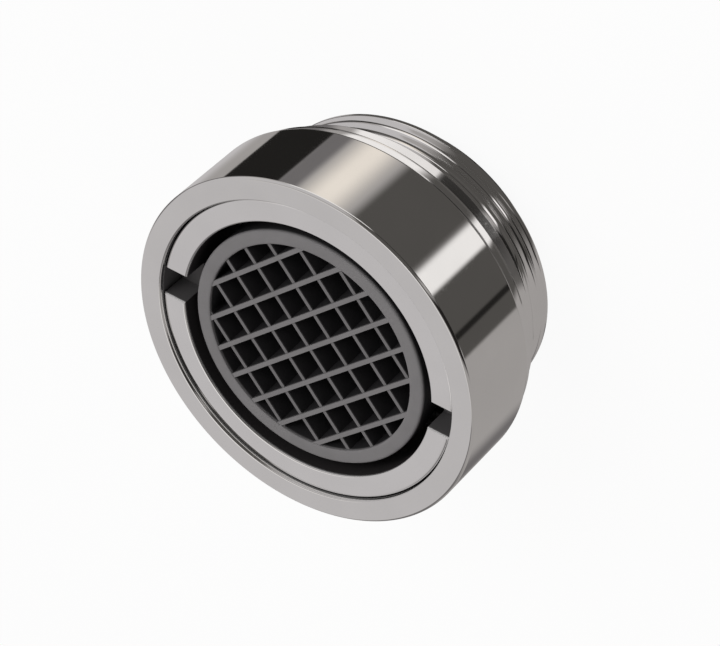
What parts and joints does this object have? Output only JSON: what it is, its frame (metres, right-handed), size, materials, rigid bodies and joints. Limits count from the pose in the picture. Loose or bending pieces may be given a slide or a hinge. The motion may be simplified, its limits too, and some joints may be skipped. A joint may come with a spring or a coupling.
{
  "type": "tap aerator",
  "caption": "Key-operated tap aerator with a male thread, a freely spinning chromed sleeve and a square-lattice outlet grille.",
  "frame": {"origin": "on the axis, at the lower face of the sealing washer, on which the part stands", "axes": "+Z along the axis and the flow of the water, from the thread to the outlet, so in use the part is turned over; X through the two key slots"},
  "size_m": [0.028, 0.028, 0.015],
  "materials": {
    "chrome_sleeve": "polished chrome plate on brass",
    "chrome_body": "polished chrome plate on brass",
    "spring_steel": "bright spring steel",
    "natural_plastic": "natural acetal",
    "black_plastic": "black acetal",
    "grey_plastic": "grey acetal",
    "seal_rubber": "black rubber",
    "regulator_rubber": "soft rubber"
  },
  "bodies": {
    "aerator_body": {"threaded_body": "chrome_body", "sleeve_clip": "spring_steel", "glide_ring": "natural_plastic", "sealing_washer": "seal_rubber", "cartridge_shell": "black_plastic", "outlet_grille": "grey_plastic", "stream_splitter": "black_plastic", "jet_plate": "black_plastic", "regulator_core": "natural_plastic", "regulator_ring": "regulator_rubber", "regulator_cover": "natural_plastic", "strainer": "natural_plastic", "mixing_grid_1": "black_plastic", "mixing_grid_2": "black_plastic", "mixing_grid_3": "black_plastic"},
    "sleeve": {"outer_sleeve": "chrome_sleeve"}
  },
  "joints": [
    {"name": "sleeve_spin", "type": "hinge", "parent": "aerator_body", "child": "sleeve", "pos_m": [0, 0, 0.01142], "axis": [0, 0, 1], "continuous": true}
  ]
}
